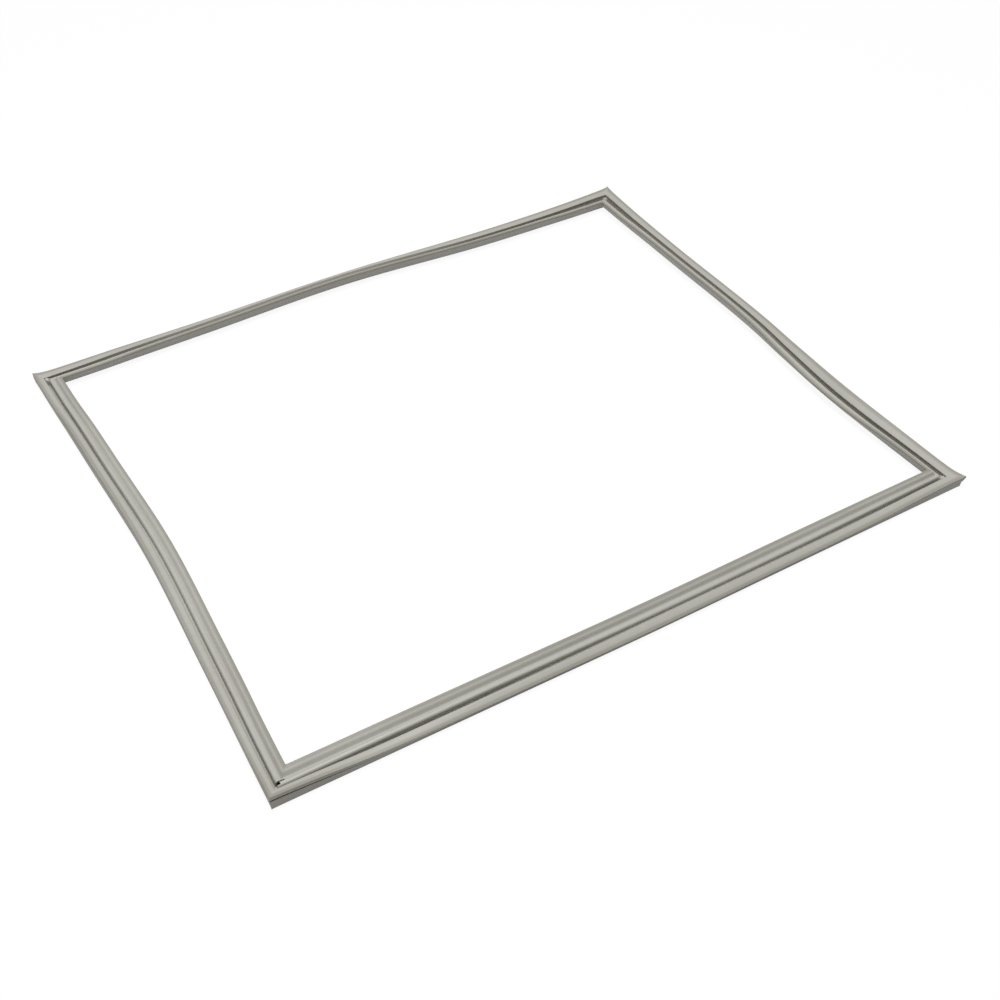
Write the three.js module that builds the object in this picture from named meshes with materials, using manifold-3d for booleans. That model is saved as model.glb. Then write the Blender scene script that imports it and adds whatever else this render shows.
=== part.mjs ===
// Door gasket of a food warming cabinet: one soft hollow strip, mitred and welded into a closed frame.
// Millimetres, +Z up. It lies face up on a flat surface as it came to rest, a little bowed and twisted.
import * as THREE from 'three';
import * as BufferGeometryUtils from 'three/addons/utils/BufferGeometryUtils.js';
import Module from 'manifold-3d';

// Overall size between the outer edges
const frameLength = 724;
const frameDepth = 614;

// Section of the strip: t runs inward from the outer edge, z runs up from the foot
const stripWidth = 25;
const edgeBevel = 0.4;

// The sealing pocket along the outer edge
const pocketWidth = 8;
const pocketHeight = 3.3;
const pocketTop = 9.7;
const pocketWall = 1;

// The slot under the pocket, open to the outside
const slotHeight = 1.5;
const slotDepth = 2.6;

// The flat foot that lies on the door
const footInset = 0.8;
const footWidth = 15;
const footWall = 1.3;

// The floor of the deep groove between the pocket and the wing
const grooveFloor = 2.2;
const grooveStart = 8.8;

// The hollow wing: a round ridge beside the groove, a shallow valley, and a thick rounded tip
const ridgeStart = 12.2;
const ridgeFoot = 6.3;
const ridgeCrest = 14.2;
const ridgeTop = 9.7;
const valleyWidth = 7.2;
const valleyDepth = 1.5;
const wingTipTop = 14.7;
const wingTipHeight = 3.2;
const wingWall = 1.3;
const wingBelly = 0.6;

// How the soft strip lies along each side, at 1/4, 1/2 and 3/4 of its length:
// bow in millimetres inward, roll and pocket tilt in degrees, outward and upward
const sides = [
  { name: 'front', bow: [-1.1, -2.1, -0.9], roll: [10, 14, 10], tilt: [-17, -17, -18] },
  { name: 'right', bow: [4.8, 0.6, 0.7], roll: [-11, 5, 5], tilt: [20, 17, 7] },
  { name: 'back', bow: [0.3, -9.9, -3.6], roll: [5, 6, 6], tilt: [7, -18, -11] },
  { name: 'left', bow: [4.6, 9.8, 5.5], roll: [-15, -11, -7], tilt: [2, -1, -5] },
];

// At the corner where each side starts, the weld holds the pocket tilted and off the foot
const corners = [
  { name: 'nearLeft', tilt: 21, lift: 3.3 },
  { name: 'nearRight', tilt: 9, lift: 0.1 },
  { name: 'farRight', tilt: 20, lift: 2.5 },
  { name: 'farLeft', tilt: 11, lift: -1 },
];
const liftReach = 60;

// The weld keeps the foot flat beside it, and the twist starts further on
const flatStretch = 30;
const twistStart = 100;

// The unfilled weld at the near left corner
const weldGapStart = 10.4;
const weldGapLength = 6;
const weldGapDepth = 4.2;
const ventHeight = 1;

// How finely the shape is divided
const stationsPerSide = 20;
const stationCrowding = 0.5;
const ridgeSteps = 4;
const valleySteps = 7;
const tipSteps = 4;
const bellySteps = 3;

const { degToRad, lerp, smoothstep } = THREE.MathUtils;

// Places that several outlines share
const pocketFloor = pocketTop - pocketHeight;
const pocketMiddle = pocketTop - pocketHeight / 2;
const footEnd = footInset + footWidth;
const tipRadius = wingTipHeight / 2;
const tipCentre = new THREE.Vector2(stripWidth - tipRadius, wingTipTop - tipRadius);
const faceSlope = (wingTipTop - ridgeTop) / (tipCentre.x - ridgeCrest);

// Height of the wing's face inward of the ridge, at a distance t from the outer edge
function wingFace(t) {
  const past = t - ridgeCrest;
  const dip = past < valleyWidth ? Math.sin(Math.PI * past / valleyWidth) : 0;
  return ridgeTop + faceSlope * past - valleyDepth * dip ** 2;
}

// The round flank of the ridge, from the side of the groove up to the crest
function ridgeFlank(share) {
  const angle = share * Math.PI / 2;
  return {
    t: ridgeCrest - (ridgeCrest - ridgeStart) * Math.cos(angle),
    z: ridgeFoot + (ridgeTop - ridgeFoot) * Math.sin(angle),
  };
}

// The wing's rounded belly, from the foot up to the tip
function bellyPoint(share) {
  const start = new THREE.Vector2(footEnd, edgeBevel);
  const end = new THREE.Vector2(tipCentre.x, wingTipTop - wingTipHeight);
  const along = end.clone().sub(start);
  const bulge = new THREE.Vector2(along.y, -along.x).normalize();
  return start.addScaledVector(along, share)
    .addScaledVector(bulge, wingBelly * Math.sin(Math.PI * share));
}

// Outer outline of the section. Points marked pocket move with it when it tilts
function outerOutline() {
  const points = [];
  const add = (t, z, pocket = false) => points.push({ t, z, pocket });
  add(footInset, 0);
  add(footEnd - edgeBevel, 0);
  for (let i = 0; i < bellySteps; i += 1) {
    const { x, y } = bellyPoint(i / bellySteps);
    add(x, y);
  }
  for (let i = 0; i <= tipSteps; i += 1) {
    const angle = Math.PI * (i / tipSteps - 0.5);
    add(tipCentre.x + tipRadius * Math.cos(angle), tipCentre.y + tipRadius * Math.sin(angle));
  }
  for (let i = valleySteps; i > 0; i -= 1) {
    const t = ridgeCrest + valleyWidth * i / valleySteps;
    add(t, wingFace(t));
  }
  for (let i = ridgeSteps; i >= 0; i -= 1) {
    const { t, z } = ridgeFlank(i / ridgeSteps);
    add(t, z);
  }
  add(ridgeStart, grooveFloor);
  add(grooveStart, grooveFloor);
  add(pocketWidth, pocketFloor, true);
  add(pocketWidth, pocketTop - edgeBevel, true);
  add(pocketWidth - edgeBevel, pocketTop, true);
  add(edgeBevel, pocketTop, true);
  add(0, pocketTop - edgeBevel, true);
  add(0, pocketFloor + edgeBevel, true);
  add(edgeBevel, pocketFloor, true);
  add(slotDepth, pocketFloor, true);
  add(slotDepth, pocketFloor - slotHeight, true);
  add(footInset, pocketFloor - slotHeight, true);
  return points;
}

// The empty chamber inside the pocket, wound the other way
function pocketChamber() {
  const low = { t: pocketWall, z: pocketFloor + pocketWall };
  const high = { t: pocketWidth - pocketWall, z: pocketTop - pocketWall };
  return [[low.t, low.z], [low.t, high.z], [high.t, high.z], [high.t, low.z]]
    .map(([t, z]) => ({ t, z, pocket: true }));
}

// The empty chamber under the wing, one wall inside its face and its belly
function wingChamber() {
  const points = [];
  const add = (t, z) => points.push({ t, z, pocket: false });
  const bellySlope = (wingTipTop - wingTipHeight) / (tipCentre.x - footEnd);
  const bellyInset = wingWall * Math.hypot(1, 1 / bellySlope);
  const faceInset = wingWall * Math.hypot(1, faceSlope) * 1.2;
  const chamberStart = ridgeStart + wingWall;
  const chamberEnd = ridgeCrest + valleyWidth - wingWall;
  const bellyInside = (t) => (t - footEnd + bellyInset) * bellySlope;
  add(chamberStart, footWall);
  for (let i = 0; i <= valleySteps; i += 1) {
    const t = lerp(chamberStart, chamberEnd, i / valleySteps);
    add(t, (t < ridgeCrest ? ridgeFlank(0.5).z : wingFace(t)) - faceInset);
  }
  add(chamberEnd, bellyInside(chamberEnd));
  add(footEnd - bellyInset + footWall / bellySlope, footWall);
  return points;
}

// A smooth curve through evenly spaced values, read at a place from 0 to 1
function curveThrough(values, place) {
  const last = values.length - 1;
  const i = Math.min(Math.floor(place * last), last - 1);
  const x = place * last - i;
  const [a, b] = [values[i], values[i + 1]];
  const before = i > 0 ? values[i - 1] : 2 * a - b;
  const after = i + 2 <= last ? values[i + 2] : 2 * b - a;
  const bend = 2 * before - 5 * a + 4 * b - after;
  const twist = 3 * (a - b) + after - before;
  return a + 0.5 * x * (b - before + x * (bend + x * twist));
}

// Bow, roll, pocket tilt and pocket lift at a place along one side
function lieAt(sideIndex, place) {
  const side = sides[sideIndex];
  const ends = [corners[sideIndex], corners[(sideIndex + 1) % corners.length]];
  const length = sideIndex % 2 === 0 ? frameLength : frameDepth;
  const nearer = place < 0.5 ? ends[0] : ends[1];
  const distance = Math.min(place, 1 - place) * length;
  const loosened = smoothstep(distance, flatStretch, twistStart);
  return {
    length,
    bow: curveThrough([0, ...side.bow, 0], place),
    roll: degToRad(curveThrough([0, ...side.roll, 0], place) * loosened),
    tilt: degToRad(curveThrough([ends[0].tilt, ...side.tilt, ends[1].tilt], place)),
    lift: nearer.lift * Math.exp(-((distance / liftReach) ** 2)),
  };
}

// One point of the section after the pocket has tilted about its inner side and the strip has rolled
function laidPoint(point, { roll, tilt, lift }) {
  let { t, z } = point;
  if (point.pocket) {
    const across = t - pocketWidth;
    const above = z - pocketMiddle;
    t = pocketWidth + across * Math.cos(tilt) + above * Math.sin(tilt);
    z = pocketMiddle + lift + above * Math.cos(tilt) - across * Math.sin(tilt);
  }
  return {
    t: t * Math.cos(roll) - z * Math.sin(roll),
    z: z * Math.cos(roll) + t * Math.sin(roll),
  };
}

// Rolling lifts the strip until the lower edge of the foot is back on the surface
function footRise({ roll }) {
  return -Math.min(footInset * Math.sin(roll), (footEnd - edgeBevel) * Math.sin(roll));
}

// Where each side starts, which way it runs and which way is inward
const sideFrames = [
  { start: [-0.5, -0.5], along: [1, 0], inward: [0, 1] },
  { start: [0.5, -0.5], along: [0, 1], inward: [-1, 0] },
  { start: [0.5, 0.5], along: [-1, 0], inward: [0, -1] },
  { start: [-0.5, 0.5], along: [0, -1], inward: [1, 0] },
];

// The section as it lies at one place. Both ends of a side are cut at 45 degrees
function placeSection(outline, sideIndex, place) {
  const lie = lieAt(sideIndex, place);
  const rise = footRise(lie);
  const { start, along, inward } = sideFrames[sideIndex];
  return outline.map((point) => {
    const laid = laidPoint(point, lie);
    const t = laid.t + lie.bow;
    const s = place * lie.length + (1 - 2 * place) * t;
    return new THREE.Vector3(
      start[0] * frameLength + along[0] * s + inward[0] * t,
      start[1] * frameDepth + along[1] * s + inward[1] * t,
      laid.z + rise,
    );
  });
}

// The closed surface that an outline sweeps on its way round the four sides
function sweptSurface(outline) {
  const vertices = [];
  for (let sideIndex = 0; sideIndex < sides.length; sideIndex += 1) {
    for (let i = 0; i < stationsPerSide; i += 1) {
      const even = i / stationsPerSide;
      const place = even - stationCrowding * Math.sin(2 * Math.PI * even) / (2 * Math.PI);
      vertices.push(...placeSection(outline, sideIndex, place));
    }
  }
  const count = outline.length;
  const faces = [];
  for (let i = 0; i < vertices.length; i += count) {
    for (let j = 0; j < count; j += 1) {
      const k = (j + 1) % count;
      const next = (i + count) % vertices.length;
      faces.push(i + j, i + k, next + k, i + j, next + k, next + j);
    }
  }
  const geometry = new THREE.BufferGeometry().setFromPoints(vertices);
  geometry.setIndex(faces);
  return geometry;
}

const wasm = await Module();
wasm.setup();

function toManifold(geometry) {
  const bare = geometry.clone();
  bare.deleteAttribute('normal');
  bare.deleteAttribute('uv');
  const welded = BufferGeometryUtils.mergeVertices(bare);
  return new wasm.Manifold(new wasm.Mesh({
    numProp: 3,
    vertProperties: new Float32Array(welded.attributes.position.array),
    triVerts: new Uint32Array(welded.index.array),
  }));
}

function toGeometry(manifold) {
  const mesh = manifold.getMesh();
  const geometry = new THREE.BufferGeometry();
  geometry.setAttribute('position', new THREE.BufferAttribute(new Float32Array(mesh.vertProperties), 3));
  geometry.setIndex([...mesh.triVerts]);
  return geometry;
}

// A box between two corners, as something to cut away
function cutter(low, high) {
  const size = new THREE.Vector3().subVectors(high, low);
  const centre = new THREE.Vector3().addVectors(low, high).multiplyScalar(0.5);
  return toManifold(new THREE.BoxGeometry(size.x, size.y, size.z).translate(...centre));
}

// The near left weld is short of material: the ridges stop before they meet, and both chambers show
function weldGap() {
  const low = new THREE.Vector3(weldGapStart, weldGapStart, grooveFloor);
  const high = low.clone().add(new THREE.Vector3(weldGapLength, weldGapDepth, wingTipTop));
  const inPocket = laidPoint({ t: pocketWidth - pocketWall, z: pocketMiddle, pocket: true }, lieAt(0, 0));
  const ventStart = inPocket.t - pocketWall;
  const ventLow = new THREE.Vector3(ventStart, ventStart, inPocket.z - ventHeight / 2);
  const ventHigh = new THREE.Vector3(weldGapStart, weldGapStart, inPocket.z + ventHeight / 2);
  const corner = new THREE.Vector3(-frameLength / 2, -frameDepth / 2, 0);
  return cutter(low.add(corner), high.add(corner)).add(cutter(ventLow.add(corner), ventHigh.add(corner)));
}

const surfaces = [outerOutline(), pocketChamber(), wingChamber()].map(sweptSurface);
const strip = toManifold(BufferGeometryUtils.mergeGeometries(surfaces));
const shape = toGeometry(strip.subtract(weldGap()));

// The origin is on the surface it lies on, below the middle of its bounding box
shape.computeBoundingBox();
const middle = shape.boundingBox.getCenter(new THREE.Vector3());
shape.translate(-middle.x, -middle.y, -shape.boundingBox.min.z);
shape.computeVertexNormals();

const softVinyl = new THREE.MeshStandardMaterial({
  color: 0xb8b9af,
  roughness: 0.55,
  metalness: 0,
});

const gasket = new THREE.Mesh(shape, softVinyl);
gasket.name = 'door_gasket';

const group = new THREE.Group();
group.add(gasket);

export default group;
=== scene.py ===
"""Door gasket of a food warming cabinet: one soft hollow vinyl strip, mitred and welded into a closed frame.

The gasket lies face up on a pale floor, a little bowed and twisted, as it came to rest. Its sizes are in
millimetres and degrees, and become metres where a mesh is made. Across the strip, t runs inward from the
outer edge and z runs up from the foot. Along a side, a place runs from 0 at its first corner to 1.
"""

import logging
import math
from dataclasses import dataclass, field
from enum import Enum

import bpy
import numpy as np
from mathutils import Matrix, Vector


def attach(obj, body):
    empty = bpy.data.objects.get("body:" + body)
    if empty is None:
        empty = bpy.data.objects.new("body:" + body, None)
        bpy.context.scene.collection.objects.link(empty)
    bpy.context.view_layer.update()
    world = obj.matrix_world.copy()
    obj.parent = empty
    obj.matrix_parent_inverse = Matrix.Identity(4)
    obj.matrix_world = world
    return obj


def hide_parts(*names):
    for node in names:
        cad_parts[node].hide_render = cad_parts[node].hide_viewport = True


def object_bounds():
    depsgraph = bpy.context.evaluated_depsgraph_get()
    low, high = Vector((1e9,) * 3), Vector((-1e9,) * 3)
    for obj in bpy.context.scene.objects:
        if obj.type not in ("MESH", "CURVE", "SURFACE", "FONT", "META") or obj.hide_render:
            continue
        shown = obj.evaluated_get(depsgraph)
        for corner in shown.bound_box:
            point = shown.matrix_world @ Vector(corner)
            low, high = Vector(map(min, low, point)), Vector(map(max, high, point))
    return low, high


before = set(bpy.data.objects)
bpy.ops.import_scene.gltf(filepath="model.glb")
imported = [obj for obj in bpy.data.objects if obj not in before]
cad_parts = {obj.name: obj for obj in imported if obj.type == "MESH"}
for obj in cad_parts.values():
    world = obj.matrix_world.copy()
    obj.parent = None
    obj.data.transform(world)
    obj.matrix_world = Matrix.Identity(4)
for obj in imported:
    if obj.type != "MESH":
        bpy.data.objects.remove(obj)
cad_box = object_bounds()

METRES = 0.001
WHITE = (1.0, 1.0, 1.0, 1.0)

log = logging.getLogger("door_gasket")

# Places


class Side(Enum):
    """The four sides, in walking order, with the unit steps along each and inward from its outer edge."""

    FRONT = ((-0.5, -0.5), (1, 0), (0, 1))
    RIGHT = ((0.5, -0.5), (0, 1), (-1, 0))
    BACK = ((0.5, 0.5), (-1, 0), (0, -1))
    LEFT = ((-0.5, 0.5), (0, -1), (1, 0))


@dataclass(frozen=True)
class SideLie:
    """How one side lies at 1/4, 1/2 and 3/4 of its length.

    At each of those places: its bow inward, the roll of the strip and the tilt of its pocket, how much
    further in its groove lies, and how far the groove is filled, which is 1 at the level of a weld's web.
    """

    bow: tuple[float, float, float]
    roll: tuple[float, float, float]
    tilt: tuple[float, float, float]
    spread: tuple[float, float, float] = (0, 0, 0)
    shallow: tuple[float, float, float] = (0, 0, 0)


@dataclass(frozen=True)
class CornerLie:
    """How the weld at the start of a side holds the pocket.

    Its tilt and lift, how far its lip is drawn up and out, how much deeper its side wall reaches, and how
    much further in the groove lies.
    """

    tilt: float
    lift: float
    lip_rise: float = 0.0
    lip_draw: float = 0.0
    skirt: float = 0.0
    spread: float = 0.0


@dataclass(frozen=True)
class Lie:
    """How a side lies at a row of stations, with its angles in radians.

    Beside the values of its side and corners it holds what the pocket and groove keep of their painted shade,
    how far the groove is filled by a weld's web, and the distance to the nearer corner.
    """

    bow: np.ndarray
    roll: np.ndarray
    tilt: np.ndarray
    lift: np.ndarray
    lip_rise: np.ndarray
    lip_draw: np.ndarray
    skirt: np.ndarray
    spread: np.ndarray
    shade_kept: np.ndarray
    web: np.ndarray
    shallow: np.ndarray
    distance: np.ndarray


def smoothstep(value: np.ndarray, low: float, high: float) -> np.ndarray:
    """A ramp from 0 at low to 1 at high that starts and ends level: 3x squared less 2x cubed."""
    x = np.clip((value - low) / (high - low), 0.0, 1.0)
    return x * x * (3.0 - 2.0 * x)


def curve_through(values: tuple[float, ...], place: np.ndarray) -> np.ndarray:
    """Reads a smooth curve through evenly spaced values.

    Each stretch is a cubic whose slope at a value is half the difference of its two neighbours.

    Args:
        values: the evenly spaced values, the first at place 0 and the last at place 1.
        place: where the curve is read.

    Returns:
        The curve's values at those places.
    """
    padded = np.array([2 * values[0] - values[1], *values, 2 * values[-1] - values[-2]])
    spans = len(values) - 1
    i = np.minimum((place * spans).astype(int), spans - 1)
    x = place * spans - i
    before, a, b, after = padded[i], padded[i + 1], padded[i + 2], padded[i + 3]
    bend = 2 * before - 5 * a + 4 * b - after
    twist = 3 * (a - b) + after - before
    return a + 0.5 * x * (b - before + x * (bend + x * twist))


# Shapes


@dataclass(frozen=True)
class Outline:
    """A closed section: its points, and each point's share in the parts that are moved or take painted shade.
    """

    t: np.ndarray
    z: np.ndarray
    pocket: np.ndarray
    wall: np.ndarray
    groove: np.ndarray
    lip: np.ndarray
    skirt: np.ndarray
    rim: np.ndarray

    def normals(self) -> tuple[np.ndarray, np.ndarray]:
        """The outward direction at each point: the step between its neighbours, turned a quarter.

        Returns:
            Its parts along t and along z.
        """
        step_t = np.roll(self.t, -1) - np.roll(self.t, 1)
        step_z = np.roll(self.z, -1) - np.roll(self.z, 1)
        length = np.hypot(step_t, step_z)
        return step_z / length, -step_t / length

    def run(self) -> np.ndarray:
        """The distance round the outline from its first point, closed by one more value."""
        steps = np.hypot(np.roll(self.t, -1) - self.t, np.roll(self.z, -1) - self.z)
        return np.concatenate([[0.0], np.cumsum(steps)])


def softened(corners: np.ndarray, steps: int = 3) -> np.ndarray:
    """Rounds the marked corners of an open chain of points.

    A corner becomes a short parabola that starts and ends the given distance before and after it.

    Args:
        corners: rows of t, z, the distance, which is 0 at a point that stays, and the point's shares.
        steps: how many spans the parabola has.

    Returns:
        Rows of t, z and the shares, with no two points the same.
    """
    point = corners[:, :2]
    to_before = np.roll(point, 1, axis=0) - point
    to_after = np.roll(point, -1, axis=0) - point
    reach = corners[:, 2:3]
    start = point + to_before * reach / np.linalg.norm(to_before, axis=1, keepdims=True)
    end = point + to_after * reach / np.linalg.norm(to_after, axis=1, keepdims=True)
    w = np.linspace(0.0, 1.0, steps + 1)[None, :, None]
    arcs = start[:, None] * (1 - w) ** 2 + point[:, None] * 2 * w * (1 - w) + end[:, None] * w**2
    rows = np.concatenate([arcs, np.repeat(corners[:, None, 3:], steps + 1, axis=1)], axis=2)
    kept = (reach > 0) | (np.arange(steps + 1)[None, :] == 0)
    return rows[kept]


@dataclass(frozen=True)
class PaintedShadeShares:
    """How much painted shade each part of the section takes, from 0 to 1, as a darker colour where shade
    falls.
    """

    foot: float = 0.5
    belly: float = 0.12
    tip: float = 0.9
    face_end: float = 0.65
    valley: float = 0.2
    flank: float = 0.15
    groove: tuple[float, float] = (0.15, 0.25)
    pocket_inside: tuple[float, float] = (0.35, 0.4)
    inner_rim: float = 0.5
    outer_rim: float = 0.55
    low_edge: float = 0.4
    slot: float = 0.9


@dataclass(frozen=True)
class StripSection:
    """The section of the strip: a low hollow pocket along the outer edge, a groove and a hollow wing."""

    width: float = 24.6
    pocket_width: float = 8.0
    pocket_height: float = 3.3
    pocket_top: float = 9.7
    pocket_wall: float = 1.0
    slot_height: float = 1.5
    slot_depth: float = 2.6
    foot_inset: float = 0.8
    foot_width: float = 15.0
    foot_wall: float = 1.3
    groove_floor: float = 2.2
    groove_start: float = 8.8
    ridge_start: float = 11.7
    ridge_foot: float = 6.3
    ridge_crest: float = 13.8
    ridge_top: float = 9.2
    valley_width: float = 6.4
    valley_depth: float = 1.9
    tip_top: float = 14.3
    tip_height: float = 3.2
    face_stop: float = 0.6
    wing_wall: float = 1.3
    wing_belly: float = 0.6
    roof_share: float = 1.2
    edge_round: float = 0.45
    low_edge_share: float = 0.7
    groove_round: float = 0.5
    pocket_foot_round: float = 0.4
    slot_round: float = 0.3
    crown: float = 0.3
    # Where the painted dark outer rim fades out, and where the painted shade of the inner band fades in.
    outer_rim: tuple[float, float] = (2.0, 4.2)
    inner_rim: tuple[float, float] = (7.3, 8.3)
    top_span: tuple[float, float] = (0.17, 0.83)
    # The part of a half sine that paints shade round the tip.
    tip_fade: tuple[float, float] = (0.2, 0.7)
    top_steps: int = 9
    ridge_steps: int = 8
    valley_steps: int = 14
    tip_steps: int = 8
    belly_steps: int = 6
    roof_steps: int = 8
    # How much painted shade each part of the section takes.
    shares: PaintedShadeShares = PaintedShadeShares()

    @property
    def pocket_floor(self) -> float:
        """Height of the pocket's underside."""
        return self.pocket_top - self.pocket_height

    @property
    def hinge(self) -> tuple[float, float]:
        """The line that the pocket tilts about: the middle of its inner side."""
        return self.pocket_width, self.pocket_top - self.pocket_height / 2

    @property
    def foot_end(self) -> float:
        """Where the foot ends and the belly starts."""
        return self.foot_inset + self.foot_width

    @property
    def low_edge_round(self) -> float:
        """Rounding of the low edges, a little less than that of the others."""
        return self.edge_round * self.low_edge_share

    @property
    def tip_centre(self) -> tuple[float, float]:
        """Centre of the wing's round tip."""
        radius = self.tip_height / 2
        return self.width - radius, self.tip_top - radius

    @property
    def face_slope(self) -> float:
        """Slope of the line from the ridge's crest to the top of the tip."""
        return (self.tip_top - self.ridge_top) / (self.tip_centre[0] - self.ridge_crest)

    def wing_face(self, t: np.ndarray) -> np.ndarray:
        """Height of the wing's face: a straight rise from the crest, less a squared sine in the valley.

        Args:
            t: where it is read, from the crest inward.

        Returns:
            The heights there.
        """
        past = t - self.ridge_crest
        dip = np.where(past < self.valley_width, np.sin(np.pi * past / self.valley_width), 0.0)
        return self.ridge_top + self.face_slope * past - self.valley_depth * dip**2

    def outer(self) -> Outline:
        """The outer outline, from the foot's outer edge round the wing, the groove and the pocket.

        Returns:
            The outline with its edges rounded.
        """
        shade, rows = self.shares, self._rows
        foot_round, edge_round, inner = self.low_edge_round, self.edge_round, self.pocket_width
        floor, rim_height = self.pocket_floor, self.pocket_top - self.crown
        slot_floor, low = floor - self.slot_height, self.groove_floor
        last_t = self.tip_centre[0] - self.face_stop
        tip, valley, flank, top = self._tip(), self._valley(), self._flank(), self._top()
        # Painted shade round the tip, darkest where it points inward.
        tip_wave = np.sin(np.pi * np.linspace(*self.tip_fade, len(tip)))
        dip_share = (valley[:, 0] - self.ridge_crest) / self.valley_width
        across = top[:, 0]
        # Painted shade on the pocket's top: a darker band by its inner edge and a darker outer rim.
        band = shade.inner_rim * smoothstep(across, *self.inner_rim)
        rim = 1 - smoothstep(across, *self.outer_rim)
        # Each row's wall share is painted shade: a darker colour on the foot, under the wing, round the tip,
        # in the valley and groove, inside the pocket's walls and in the slot.
        chain = np.concatenate([
            rows([(self.foot_inset, 0.0)], foot_round, wall=shade.foot),
            rows(self._belly(), wall=shade.belly),
            rows(tip, wall=shade.tip * tip_wave),
            rows([(last_t, self.wing_face(last_t))], wall=shade.face_end),
            rows(valley, wall=shade.valley * np.sin(np.pi * dip_share) ** 2),
            rows(flank, wall=shade.flank * np.linspace(0.0, 1.0, len(flank)) ** 2),
            rows([(self.ridge_start, low)], self.groove_round, wall=shade.groove[0], groove=1.0),
            rows([(self.groove_start, low)], self.groove_round, wall=shade.groove[1], groove=1.0),
            rows([(inner, floor)], self.pocket_foot_round, wall=shade.pocket_inside[0], pocket=1.0),
            rows([(inner, rim_height)], edge_round, wall=shade.pocket_inside[1], pocket=1.0),
            rows(top, wall=band, pocket=1.0, lip=1 - across / inner, rim=rim),
            rows([(0.0, rim_height)], edge_round, wall=shade.outer_rim, pocket=1.0, lip=1.0, rim=0.5),
            rows([(0.0, floor)], foot_round, wall=shade.low_edge, pocket=1.0, skirt=1.0),
            rows([(self.slot_depth, floor)], self.slot_round, wall=shade.slot, pocket=1.0, skirt=1.0),
            rows([(self.slot_depth, slot_floor)], self.slot_round, wall=shade.slot, pocket=1.0),
            rows([(self.foot_inset, slot_floor)], foot_round, wall=shade.low_edge, pocket=1.0),
        ])
        t, z, wall, pocket, groove, lip, skirt, rim = softened(chain).T
        return Outline(t, z, pocket, wall, groove, lip, skirt, rim)

    def _belly(self) -> np.ndarray:
        """The wing's underside, from the foot to the tip: a straight rise that bulges by half a sine.

        Returns:
            Rows of t and z.
        """
        share = np.arange(self.belly_steps) / self.belly_steps
        rise = np.array([self.tip_centre[0] - self.foot_end, self.tip_top - self.tip_height])
        bulge = self.wing_belly * np.sin(np.pi * share) / np.hypot(*rise)
        t = self.foot_end + rise[0] * share + rise[1] * bulge
        return np.stack([t, np.maximum(rise[1] * share - rise[0] * bulge, 0.0)], axis=1)

    def _tip(self) -> np.ndarray:
        """The wing's tip: half a circle from its underside to its top.

        Returns:
            Rows of t and z.
        """
        centre_t, centre_z = self.tip_centre
        angle = np.pi * (np.arange(self.tip_steps + 1) / self.tip_steps - 0.5)
        radius = self.tip_height / 2
        return np.stack([centre_t + radius * np.cos(angle), centre_z + radius * np.sin(angle)], axis=1)

    def _valley(self) -> np.ndarray:
        """The wing's face from the end of its valley to the crest, which the flank starts with.

        Returns:
            Rows of t and z.
        """
        step = np.arange(self.valley_steps, 0, -1)
        t = self.ridge_crest + self.valley_width * step / self.valley_steps
        return np.stack([t, self.wing_face(t)], axis=1)

    def _flank(self) -> np.ndarray:
        """The ridge from its crest down into the groove: a quarter of an ellipse.

        Returns:
            Rows of t and z.
        """
        angle = np.pi / 2 * np.arange(self.ridge_steps, -1, -1) / self.ridge_steps
        t = self.ridge_crest - (self.ridge_crest - self.ridge_start) * np.cos(angle)
        z = self.ridge_foot + (self.ridge_top - self.ridge_foot) * np.sin(angle)
        return np.stack([t, z], axis=1)

    def _top(self) -> np.ndarray:
        """The pocket's top from its inner to its outer edge: crowned by a fourth power, denser at both edges.

        Returns:
            Rows of t and z.
        """
        across = self.pocket_width * (0.5 + 0.5 * np.cos(np.pi * np.linspace(*self.top_span, self.top_steps)))
        hump = 1 - (2 * across / self.pocket_width - 1) ** 4
        return np.stack([across, self.pocket_top - self.crown * (1 - hump)], axis=1)

    @staticmethod
    def _rows(
        points: np.ndarray | list[tuple[float, float]], soft: float = 0.0, wall: np.ndarray | float = 0.0,
        pocket: float = 0.0, groove: float = 0.0, lip: np.ndarray | float = 0.0, skirt: float = 0.0,
        rim: np.ndarray | float = 0.0,
    ) -> np.ndarray:
        """A few points of the outline with their rounding and shares.

        Args:
            points: rows of t and z.
            soft: how far the rounding reaches from each point.
            wall: share of the painted shade colour.
            pocket: 1 on the pocket.
            groove: 1 on the groove's floor.
            lip: 1 on the pocket's outer edge, less towards its inner edge.
            skirt: 1 along the bottom of the pocket's side wall.
            rim: 1 on the pocket's outer rim.

        Returns:
            Rows of t, z, rounding and each share in turn.
        """
        points = np.asarray(points, float)
        shares = (soft, wall, pocket, groove, lip, skirt, rim)
        columns = [np.broadcast_to(np.asarray(value, float), len(points)) for value in shares]
        return np.concatenate([points, np.stack(columns, axis=1)], axis=1)

    def pocket_chamber(self) -> Outline:
        """The empty chamber inside the pocket, one wall inside it.

        Returns:
            Its outline, wound the other way.
        """
        low_t, high_t = self.pocket_wall, self.pocket_width - self.pocket_wall
        low_z, high_z = self.pocket_floor + self.pocket_wall, self.pocket_top - self.pocket_wall
        t = np.array([low_t, low_t, high_t, high_t])
        z = np.array([low_z, high_z, high_z, low_z])
        # The chamber's inside takes the whole painted shade colour.
        full, none = np.ones(4), np.zeros(4)
        return Outline(t, z, full, full, none, none, none, none)

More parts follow.
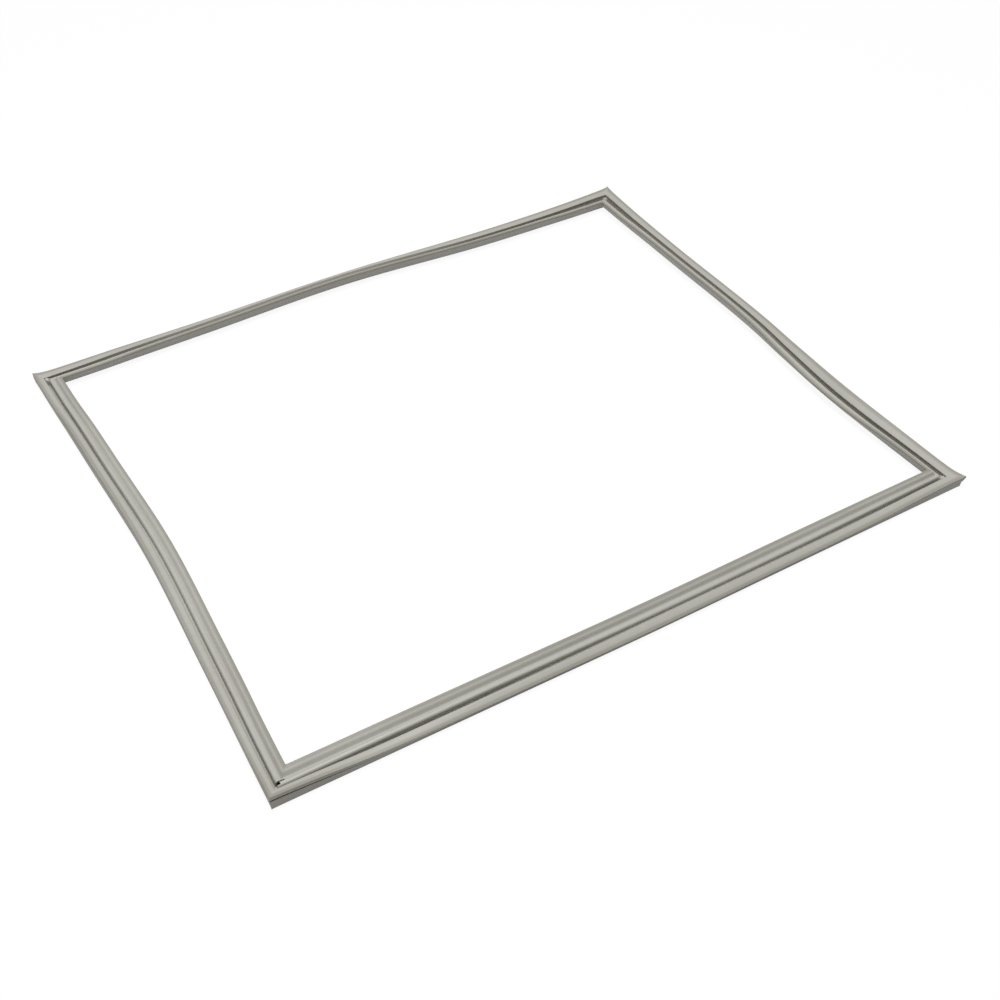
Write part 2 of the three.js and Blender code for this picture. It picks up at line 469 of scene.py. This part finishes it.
    def wing_chamber(self) -> Outline:
        """The empty chamber under the wing, one wall inside its face and its belly.

        Returns:
            Its outline, wound the other way.
        """
        belly_slope = (self.tip_top - self.tip_height) / (self.tip_centre[0] - self.foot_end)
        belly_inset = self.wing_wall * math.hypot(1.0, 1.0 / belly_slope)
        face_inset = self.wing_wall * math.hypot(1.0, self.face_slope) * self.roof_share
        start = self.ridge_start + self.wing_wall
        end = self.ridge_crest + self.valley_width - self.wing_wall
        belly_start = self.foot_end - belly_inset
        across = np.linspace(start, end, self.roof_steps)
        shoulder = self.ridge_foot + (self.ridge_top - self.ridge_foot) * math.sin(math.pi / 4)
        roof = np.where(across < self.ridge_crest, shoulder, self.wing_face(across)) - face_inset
        t = np.concatenate([[start], across, [end, belly_start + self.foot_wall / belly_slope]])
        z = np.concatenate([[self.foot_wall], roof, [(end - belly_start) * belly_slope, self.foot_wall]])
        # The chamber's inside takes the whole painted shade colour.
        none = np.zeros(len(t))
        return Outline(t, z, none, np.ones(len(t)), none, none, none, none)


@dataclass(frozen=True)
class ShadeFade:
    """How the section's shares of painted shade change along a side.

    The pocket and groove keep them whole at the welds, and the share called middle past the end of the
    fade. The wing keeps the share called wing all along, and the groove loses most of its own on a web. No
    share on the pocket's outer rim or the rest of the pocket is under the last two values.
    """

    middle: float = 0.55
    fade: tuple[float, float] = (50.0, 190.0)
    wing: float = 0.7
    web_loss: float = 0.85
    least_rim: float = 0.5
    least_pocket: float = 0.1


@dataclass(frozen=True)
class StripPath:
    """The way round the frame, and how the soft strip lies on it."""

    length: float = 724.0
    depth: float = 614.0
    lift_reach: float = 60.0
    flat_stretch: float = 30.0
    twist_start: float = 100.0
    crowding: float = 0.9
    origin: tuple[float, float] = (0.30029, 3.40790)
    lip_reach: float = 7.0
    web_top: float = 7.8
    web_half: tuple[float, float] = (2.8, 5.0)
    spread_share: tuple[tuple[float, ...], ...] = ((0.8, 7.0, 12.0, 16.0, 21.0), (0.0, 1.0, 1.0, 0.6, 0.0))
    bead_height: float = 0.22
    bead_width: float = 0.8
    seat_height: float = 0.1
    heel_inset: float = 0.4
    # How the painted shade changes along each side.
    shade_fade: ShadeFade = ShadeFade()
    sides: tuple[SideLie, ...] = (
        SideLie((-1.1, -2.1, -0.9), (10, 14, 10), (-17, -17, -18), shallow=(0.0, 0.45, 0.38)),
        SideLie((4.8, 0.6, 0.7), (-11, 5, 5), (20, 17, 7), spread=(2.6, 0.6, 1.0)),
        SideLie((0.3, -9.9, -3.6), (5, 6, 6), (7, -18, -11), spread=(0.6, 0.4, 0.8)),
        SideLie((4.6, 9.8, 5.5), (-15, -11, -7), (2, -1, -5), (0, 0, -0.4), (0.15, 0.4, 0.3)),
    )
    corners: tuple[CornerLie, ...] = (
        CornerLie(21, 3.3, spread=-0.8),
        CornerLie(9, 0.1, 2.6, 3.2, 1.4, 2.6),
        CornerLie(20, 2.5, 2.2, 0.5, 0.0, 1.0),
        CornerLie(11, -1, 2.4, 1.4, 1.2, 0.4),
    )

    def side_length(self, index: int) -> float:
        """Length of a side between its outer corners."""
        return self.length if index % 2 == 0 else self.depth

    def places(self, count: int) -> np.ndarray:
        """Stations along a side, evenly stepped less a sine, so that they crowd at both corners."""
        even = np.arange(count) / count
        return even - self.crowding * np.sin(2 * np.pi * even) / (2 * np.pi)

    def lie(self, index: int, place: np.ndarray) -> Lie:
        """Reads how a side lies.

        Args:
            index: which side, in walking order.
            place: the stations, from 0 to 1.

        Returns:
            The lie at each station.
        """
        side = self.sides[index]
        first, last = self.corners[index], self.corners[(index + 1) % len(self.corners)]
        distance = np.minimum(place, 1 - place) * self.side_length(index)
        loosened = smoothstep(distance, self.flat_stretch, self.twist_start)
        held = np.exp(-((distance / self.lift_reach) ** 2))
        near_lip = np.exp(-distance / self.lip_reach)
        return Lie(
            bow=curve_through((0, *side.bow, 0), place),
            roll=np.radians(curve_through((0, *side.roll, 0), place) * loosened),
            tilt=np.radians(curve_through((first.tilt, *side.tilt, last.tilt), place)),
            lift=np.where(place < 0.5, first.lift, last.lift) * held,
            lip_rise=np.where(place < 0.5, first.lip_rise, last.lip_rise) * near_lip,
            lip_draw=np.where(place < 0.5, first.lip_draw, last.lip_draw) * near_lip,
            skirt=np.where(place < 0.5, first.skirt, last.skirt) * held,
            spread=curve_through((first.spread, *side.spread, last.spread), place),
            # Painted shade on the pocket and groove, whole at the welds and less in the middles of the sides.
            shade_kept=1 - (1 - self.shade_fade.middle) * smoothstep(distance, *self.shade_fade.fade),
            web=1 - smoothstep(distance, *self.web_half),
            shallow=np.maximum(curve_through((0, *side.shallow, 0), place), 0.0),
            distance=distance,
        )

    def carry(self, outline: Outline, section: StripSection, stations: int) -> np.ndarray:
        """Carries an outline round the four sides.

        Every ring of a side is cut so that its first and last lie in the mitres: s is place times the
        length plus (1 - 2 place) times t.

        Args:
            outline: the section that is carried.
            section: the sizes that it came from.
            stations: how many rings a side has.

        Returns:
            The rings' points in metres, as rings by points by 3.
        """
        place = self.places(stations)
        rings = []
        for index, side in enumerate(Side):
            start, along, inward = side.value
            lie = self.lie(index, place)
            t, z = self._laid(outline, section, lie, *self._formed(outline, section, lie))
            s = place[:, None] * self.side_length(index) + (1 - 2 * place[:, None]) * t
            x = start[0] * self.length + along[0] * s + inward[0] * t - self.origin[0]
            y = start[1] * self.depth + along[1] * s + inward[1] * t - self.origin[1]
            rings.append(np.stack([x, y, z], axis=2))
        return np.concatenate(rings) * METRES

    def _formed(self, outline: Outline, section: StripSection, lie: Lie) -> tuple[np.ndarray, np.ndarray]:
        """The section at each station before it turns: beaded at a weld, its groove filled, its lip drawn.

        Args:
            outline: the section that is carried.
            section: the sizes that it came from.
            lie: how the side lies.

        Returns:
            The points' t and z, as stations by points.
        """
        out_t, out_z = outline.normals()
        bead = self.bead_height * np.exp(-((lie.distance / self.bead_width) ** 2))[:, None]
        free = np.where(outline.z < self.seat_height, 0.0, 1.0)
        filled = np.maximum(lie.web, lie.shallow)[:, None]
        reach = np.interp(outline.t, *self.spread_share)
        lip = outline.lip**2
        t = outline.t + bead * out_t * free
        t = t + reach * lie.spread[:, None] - lip * lie.lip_draw[:, None]
        z = outline.z + bead * out_z * free + outline.groove * filled * (self.web_top - section.groove_floor)
        z = z + lip * lie.lip_rise[:, None] - outline.skirt * lie.skirt[:, None]
        return t, z

    def _laid(
        self, outline: Outline, section: StripSection, lie: Lie, t: np.ndarray, z: np.ndarray,
    ) -> tuple[np.ndarray, np.ndarray]:
        """Lays the formed section on the floor at each station.

        The pocket's points turn about the hinge and lift, then the whole section rolls, rises until its
        foot is back on the floor, and bows inward.

        Args:
            outline: the section that is carried.
            section: the sizes that it came from.
            lie: how the side lies.
            t: the formed points' t, as stations by points.
            z: the formed points' z, as stations by points.

        Returns:
            The points' t and z where they come to lie.
        """
        hinge_t, hinge_z = section.hinge
        spread = lie.spread[:, None]
        across, above = t - hinge_t - spread, z - hinge_z
        cos, sin = np.cos(lie.tilt)[:, None], np.sin(lie.tilt)[:, None]
        t = np.where(outline.pocket > 0, hinge_t + spread + across * cos + above * sin, t)
        z = np.where(outline.pocket > 0, hinge_z + lie.lift[:, None] + above * cos - across * sin, z)
        cos, sin = np.cos(lie.roll)[:, None], np.sin(lie.roll)[:, None]
        rise = -np.minimum(section.foot_inset * sin, (section.foot_end - self.heel_inset) * sin)
        return t * cos - z * sin + lie.bow[:, None], z * cos + t * sin + rise

    def painted_shade(self, outline: Outline, stations: int) -> np.ndarray:
        """The shares of painted shade on an outline carried all round.

        Args:
            outline: the section that is carried.
            stations: how many rings a side has.

        Returns:
            A share for each point of each ring, in the order of the carried points.
        """
        place, rule = self.places(stations), self.shade_fade
        eased = (outline.pocket > 0) | (outline.groove > 0)
        # A least painted dark edge along the pocket's outer rim, and a little painted shade on the rest of
        # the pocket.
        least = np.maximum(outline.rim * rule.least_rim, outline.pocket * rule.least_pocket)
        rings = []
        for index in range(len(self.sides)):
            lie = self.lie(index, place)
            # The painted shade, eased along the side on the pocket and groove, and lighter where a web fills
            # the groove.
            factor = np.where(eased, lie.shade_kept[:, None], rule.wing)
            factor = factor * (1 - rule.web_loss * lie.web[:, None] * outline.groove)
            rings.append(np.maximum(outline.wall * factor, least))
        return np.concatenate(rings).ravel()

    def walked(self, stations: int) -> np.ndarray:
        """How far each ring is along the walk round the frame.

        Args:
            stations: how many rings a side has.

        Returns:
            The distances, closed by one more value for the whole walk.
        """
        lengths = [self.side_length(index) for index in range(len(self.sides))]
        starts = np.cumsum([0.0, *lengths])
        along = [start + self.places(stations) * length for start, length in zip(starts, lengths)]
        return np.concatenate([*along, starts[-1:]])


# Finishes


class Bench:
    """Adds nodes to one material and joins them."""

    def __init__(self, name: str) -> None:
        """Makes an empty node material with its output.

        Args:
            name: the material's name.
        """
        self.material = bpy.data.materials.new(name)
        self.material.use_nodes = True
        self.tree = self.material.node_tree
        self.tree.nodes.clear()
        self.output = self.add("ShaderNodeOutputMaterial")

    def add(self, kind: str, sockets: dict | None = None, **settings: object) -> bpy.types.Node:
        """Adds a node.

        Args:
            kind: the node's type.
            sockets: values or outputs for its inputs, by name or number.
            settings: its other settings.

        Returns:
            The new node.
        """
        node = self.tree.nodes.new(kind)
        for name, value in settings.items():
            setattr(node, name, value)
        for name, value in (sockets or {}).items():
            if isinstance(value, bpy.types.NodeSocket):
                self.tree.links.new(value, node.inputs[name])
            else:
                node.inputs[name].default_value = value
        return node

    def math(self, operation: str, *values: object) -> bpy.types.NodeSocket:
        """The result of one sum on numbers or outputs."""
        return self.add("ShaderNodeMath", dict(enumerate(values)), operation=operation).outputs[0]

    def mix(self, share: object, first: object, second: object) -> bpy.types.NodeSocket:
        """A colour between two, by a share."""
        node = self.add("ShaderNodeMix", {0: share, 6: first, 7: second}, data_type="RGBA")
        return node.outputs[2]

    def shared(self, share: float, first: object, second: object) -> bpy.types.NodeSocket:
        """A sum of two outputs, the first by a share and the second by the rest."""
        rest = self.math("MULTIPLY", second, 1.0 - share)
        return self.math("ADD", self.math("MULTIPLY", first, share), rest)

    def noise(self, place: bpy.types.NodeSocket, scale: float, detail: float = 2.0) -> bpy.types.NodeSocket:
        """Smooth seeded noise from 0 to 1."""
        node = self.add("ShaderNodeTexNoise", {"Vector": place, "Scale": scale, "Detail": detail})
        return node.outputs["Fac"]

    def scaled(self, place: bpy.types.NodeSocket, scale: tuple[float, float, float]) -> bpy.types.NodeSocket:
        """A place stretched along its axes."""
        return self.add("ShaderNodeMapping", {"Vector": place, "Scale": scale}).outputs[0]


@dataclass(frozen=True)
class SoftVinyl:
    """Light grey soft vinyl with a satin skin and faint lines along the strip, with shade painted as a darker
    colour on its walls, hollows and edges.

    Its scales count noise cells to a metre, and its relief is in metres.
    """

    face: tuple[float, float, float] = (0.432, 0.425, 0.384)
    # The colour that the painted shade mixes in.
    wall: tuple[float, float, float] = (0.154, 0.136, 0.1)
    mottle: float = 0.28
    speck: float = 0.12
    roughness: float = 0.4
    dulling: float = 0.14
    cloud_scale: float = 14.0
    cloud_detail: float = 3.0
    cloud_share: float = 0.6
    speck_scale: float = 160.0
    speck_detail: float = 4.0
    grain_scale: float = 900.0
    line_scale: tuple[float, float, float] = (6.0, 900.0, 1.0)
    line_share: float = 0.6
    relief_strength: float = 0.35
    relief_depth: float = 0.00012
    refraction: float = 1.5
    specular: float = 0.45

    def make(self) -> bpy.types.Material:
        """Builds the material.

        Returns:
            The vinyl.
        """
        bench = Bench("soft_vinyl")
        place = bench.add("ShaderNodeTexCoord").outputs["Object"]
        walk = bench.add("ShaderNodeUVMap", uv_map="walk").outputs[0]
        # The wall attribute: each point's share of painted shade.
        wall = bench.add("ShaderNodeAttribute", attribute_name="wall").outputs["Fac"]
        clouds = bench.noise(place, self.cloud_scale, self.cloud_detail)
        lines = bench.noise(bench.scaled(walk, self.line_scale), 1.0)
        grain = bench.noise(place, self.grain_scale)
        specks = bench.noise(place, self.speck_scale, self.speck_detail)
        tone = bench.math("SUBTRACT", bench.shared(self.cloud_share, clouds, lines), 0.5)
        # The painted shade share, broken up a little by the random tone.
        shade_toned = bench.math("SUBTRACT", wall, bench.math("MULTIPLY", tone, self.mottle))
        share = bench.add("ShaderNodeClamp", {"Value": shade_toned}).outputs[0]
        speckle = bench.math("MULTIPLY", bench.math("SUBTRACT", specks, 0.5), self.speck)
        shaded = bench.add("ShaderNodeHueSaturation", {
            "Value": bench.math("ADD", 1.0, speckle),
            "Color": bench.mix(share, (*self.face, 1.0), (*self.wall, 1.0)),
        })
        gloss = bench.math("ADD", self.roughness, bench.math("MULTIPLY", lines, self.dulling))
        bump = bench.add("ShaderNodeBump", {
            "Strength": self.relief_strength, "Distance": self.relief_depth,
            "Height": bench.shared(self.line_share, lines, grain),
        })
        shader = bench.add("ShaderNodeBsdfPrincipled", {
            "Base Color": shaded.outputs[0], "Roughness": gloss, "Normal": bump.outputs[0],
            "IOR": self.refraction, "Specular IOR Level": self.specular,
        })
        bench.tree.links.new(shader.outputs[0], bench.output.inputs[0])
        return bench.material


@dataclass(frozen=True)
class PaleFloor:
    """A plain white floor that keeps a faint shadow of what lies on it."""

    colour: tuple[float, float, float] = (0.5, 0.5, 0.49)
    shadow_share: float = 0.09

    def make(self) -> bpy.types.Material:
        """Builds the material: seen directly it is white but for a share that takes the light and shadow.

        Returns:
            The floor's material.
        """
        bench = Bench("pale_floor")
        path = bench.add("ShaderNodeLightPath").outputs
        mirrored = bench.math("MAXIMUM", path["Is Glossy Ray"], path["Is Transmission Ray"])
        seen = bench.math("MAXIMUM", path["Is Camera Ray"], mirrored)
        plain = bench.add("ShaderNodeBsdfDiffuse", {"Color": (*self.colour, 1.0)}).outputs[0]
        lit = bench.add("ShaderNodeBsdfDiffuse", {"Color": WHITE}).outputs[0]
        white = bench.add("ShaderNodeEmission", {"Color": WHITE, "Strength": 1.0}).outputs[0]
        shown = bench.add("ShaderNodeMixShader", {0: self.shadow_share, 1: white, 2: lit}).outputs[0]
        both = bench.add("ShaderNodeMixShader", {0: seen, 1: plain, 2: shown})
        bench.tree.links.new(both.outputs[0], bench.output.inputs[0])
        return bench.material


# Sub-assemblies


def joined_rings(rings: np.ndarray) -> np.ndarray:
    """Joins neighbouring rings and points by four-sided faces, both ways round to the start.

    Args:
        rings: the points, as rings by points by 3.

    Returns:
        The faces, as rows of four vertex numbers.
    """
    ring_count, point_count = rings.shape[:2]
    ring, point = np.meshgrid(np.arange(ring_count), np.arange(point_count), indexing="ij")
    next_ring, next_point = (ring + 1) % ring_count, (point + 1) % point_count
    corners = [(ring, point), (ring, next_point), (next_ring, next_point), (next_ring, point)]
    return np.stack([r * point_count + p for r, p in corners], axis=2).reshape(-1, 4)


@dataclass(frozen=True)
class Gap:
    """A box of missing material, by its low and high corners from the frame's near left corner."""

    low: tuple[float, float, float]
    high: tuple[float, float, float]


@dataclass
class GasketStrip:
    """The whole gasket: the swept strip with its two chambers, opened at the unfilled weld."""

    section: StripSection = field(default_factory=StripSection)
    path: StripPath = field(default_factory=StripPath)
    vinyl: SoftVinyl = field(default_factory=SoftVinyl)
    stations: int = 230
    chamber_stations: int = 60
    gaps: tuple[Gap, ...] = (
        Gap((9.0, 12.6, 3.0), (14.6, 16.1, 17.0)),
        Gap((14.5, 14.7, 6.4), (19.0, 16.0, 17.0)),
    )
    clearance: float = 0.02

    def build(self) -> bpy.types.Object:
        """Builds the piece and dresses it.

        Returns:
            The finished piece.
        """
        piece = bpy.data.objects.new("gasket_strip", self._swept())
        bpy.context.scene.collection.objects.link(piece)
        self._open_weld(piece)
        piece.modifiers.new("even_faces", "WEIGHTED_NORMAL").keep_sharp = True
        piece.data.materials.clear()
        piece.data.materials.append(self.vinyl.make())
        return piece

    def _swept(self) -> bpy.types.Mesh:
        """Sweeps the outer shell and both chambers, with their shares of painted shade and their places on
        the strip.

        Returns:
            The mesh of the three shells.
        """
        mesh = bpy.data.meshes.new("gasket_strip")
        shapes = [self.section.outer(), self.section.pocket_chamber(), self.section.wing_chamber()]
        counts = [self.stations, self.chamber_stations, self.chamber_stations]
        shells = [self.path.carry(shape, self.section, count) for shape, count in zip(shapes, counts)]
        vertices = np.concatenate([shell.reshape(-1, 3) for shell in shells])
        low, high = (np.array(corner) for corner in cad_box)
        vertices = np.clip(vertices, low + self.clearance * METRES, high - self.clearance * METRES)
        starts = np.cumsum([0, *(shell.shape[0] * shell.shape[1] for shell in shells)])
        faces = [joined_rings(shell) + start for shell, start in zip(shells, starts)]
        mesh.from_pydata(vertices, [], np.concatenate(faces))
        # The wall attribute holds each point's share of painted shade.
        walls = [self.path.painted_shade(shape, count) for shape, count in zip(shapes, counts)]
        mesh.attributes.new("wall", "FLOAT", "POINT").data.foreach_set("value", np.concatenate(walls))
        self._unroll(mesh, shapes, counts)
        mesh.polygons.foreach_set("use_smooth", np.ones(len(mesh.polygons), bool))
        mesh.update()
        return mesh

    def _unroll(self, mesh: bpy.types.Mesh, shapes: list[Outline], counts: list[int]) -> None:
        """Gives each face its place on the unrolled strip: metres walked, and metres round the section.

        Args:
            mesh: the mesh of all the shells.
            shapes: the outline of each shell.
            counts: how many rings a side of each shell has.
        """
        maps = []
        order = [(0, 0), (0, 1), (1, 1), (1, 0)]
        for shape, count in zip(shapes, counts):
            walked, round_it = self.path.walked(count), shape.run()
            ring, point = np.meshgrid(np.arange(len(walked) - 1), np.arange(len(shape.t)), indexing="ij")
            corners = [np.stack([walked[ring + a], round_it[point + b]], axis=2) for a, b in order]
            maps.append(np.stack(corners, axis=2).reshape(-1, 2))
        layer = mesh.uv_layers.new(name="walk")
        layer.data.foreach_set("uv", (np.concatenate(maps) * METRES).ravel())

    def _open_weld(self, piece: bpy.types.Object) -> None:
        """Cuts the hole and the slit where the weld is short of material, at the near left corner.

        Args:
            piece: the swept strip, whose mesh is replaced by the cut one.
        """
        outer_edge = (-self.path.length / 2 - self.path.origin[0], -self.path.depth / 2 - self.path.origin[1])
        corner = np.array([*outer_edge, 0.0])
        tools = []
        for gap in self.gaps:
            tools.append(self._block("gap_tool", (corner + gap.low) * METRES, (corner + gap.high) * METRES))
            cut = piece.modifiers.new("weld_gap", "BOOLEAN")
            cut.operation = "DIFFERENCE"
            cut.solver = "MANIFOLD"
            cut.object = tools[-1]
        graph = bpy.context.evaluated_depsgraph_get()
        opened = bpy.data.meshes.new_from_object(piece.evaluated_get(graph))
        piece.modifiers.clear()
        piece.data = opened
        opened.name = "gasket_strip"
        for tool in tools:
            bpy.data.objects.remove(tool)

    @staticmethod
    def _block(name: str, low: np.ndarray, high: np.ndarray) -> bpy.types.Object:
        """Makes a box as something to cut away.

        Args:
            name: the object's name.
            low: its low corner in metres.
            high: its high corner in metres.

        Returns:
            The box.
        """
        mesh = bpy.data.meshes.new(name)
        around = [(0, 0), (1, 0), (1, 1), (0, 1)]
        pick = np.array([(x, y, z) for z in (0, 1) for x, y in around])
        faces = [(0, 3, 2, 1), (4, 5, 6, 7), (0, 1, 5, 4), (1, 2, 6, 5), (2, 3, 7, 6), (3, 0, 4, 7)]
        mesh.from_pydata(np.where(pick, high, low), [], faces)
        block = bpy.data.objects.new(name, mesh)
        bpy.context.scene.collection.objects.link(block)
        return block


@dataclass
class Studio:
    """The pale floor, the soft light and the camera, in metres, watts and degrees."""

    floor_size: float = 12.0
    sky: float = 0.36
    key_power: float = 73.0
    key_size: float = 1.4
    key_place: tuple[float, float, float] = (-0.2, -0.1, 3.0)
    camera_place: tuple[float, float, float] = (-0.51777, -0.92118, 0.90613)
    camera_turn: float = 30.598
    camera_dip: float = 43.524
    lens: float = 49.406
    sensor: float = 36.0

    def build(self) -> None:
        """Sets up the floor, the world, the lamp and the camera."""
        self._floor()
        self._world()
        self._lamp()
        self._camera()
        bpy.context.scene.view_settings.view_transform = "Standard"

    def _floor(self) -> None:
        """A large flat floor under the gasket."""
        half = self.floor_size / 2
        mesh = bpy.data.meshes.new("floor")
        corners = [(-half, -half, 0), (half, -half, 0), (half, half, 0), (-half, half, 0)]
        mesh.from_pydata(corners, [], [(0, 1, 2, 3)])
        floor = bpy.data.objects.new("floor", mesh)
        bpy.context.scene.collection.objects.link(floor)
        mesh.materials.append(PaleFloor().make())

    def _world(self) -> None:
        """An even sky, white where it is seen or mirrored."""
        world = bpy.data.worlds.new("soft_sky")
        bpy.context.scene.world = world
        world.use_nodes = True
        nodes, links = world.node_tree.nodes, world.node_tree.links
        nodes.clear()
        path = nodes.new("ShaderNodeLightPath")
        strength = nodes.new("ShaderNodeMapRange")
        strength.inputs["To Min"].default_value = self.sky
        strength.inputs["To Max"].default_value = 1.0
        background = nodes.new("ShaderNodeBackground")
        background.inputs["Color"].default_value = WHITE
        output = nodes.new("ShaderNodeOutputWorld")
        seen = path.outputs["Is Camera Ray"]
        for ray in ("Is Glossy Ray", "Is Transmission Ray"):
            either = nodes.new("ShaderNodeMath")
            either.operation = "MAXIMUM"
            links.new(seen, either.inputs[0])
            links.new(path.outputs[ray], either.inputs[1])
            seen = either.outputs[0]
        links.new(seen, strength.inputs["Value"])
        links.new(strength.outputs[0], background.inputs["Strength"])
        links.new(background.outputs[0], output.inputs[0])

    def _lamp(self) -> None:
        """One large soft lamp nearly overhead, a little to the left and in front."""
        data = bpy.data.lights.new("key", "AREA")
        data.energy = self.key_power
        data.size = self.key_size
        lamp = bpy.data.objects.new("key", data)
        lamp.location = self.key_place
        lamp.rotation_euler = (-Vector(self.key_place)).to_track_quat("-Z", "Y").to_euler()
        bpy.context.scene.collection.objects.link(lamp)

    def _camera(self) -> None:
        """The camera at the photograph's place, turned right of the Y axis and dipped below the horizon."""
        turn, dip = math.radians(self.camera_turn), math.radians(self.camera_dip)
        ahead = Vector((math.sin(turn) * math.cos(dip), math.cos(turn) * math.cos(dip), -math.sin(dip)))
        right = Vector((math.cos(turn), -math.sin(turn), 0.0))
        up = right.cross(ahead)
        data = bpy.data.cameras.new("camera")
        data.lens = self.lens
        data.sensor_width = self.sensor
        camera = bpy.data.objects.new("camera", data)
        turned = Matrix((right, up, -ahead)).transposed().to_4x4()
        camera.matrix_world = Matrix.Translation(self.camera_place) @ turned
        bpy.context.scene.collection.objects.link(camera)
        bpy.context.scene.camera = camera


def main() -> None:
    """Builds the studio and the gasket, and reports the piece."""
    logging.basicConfig(level=logging.INFO, format="%(message)s")
    Studio().build()
    strip = GasketStrip().build()
    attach(strip, "root")
    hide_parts("door_gasket")
    log.info("%s: %d faces", strip.name, len(strip.data.polygons))


if __name__ == "__main__":
    main()
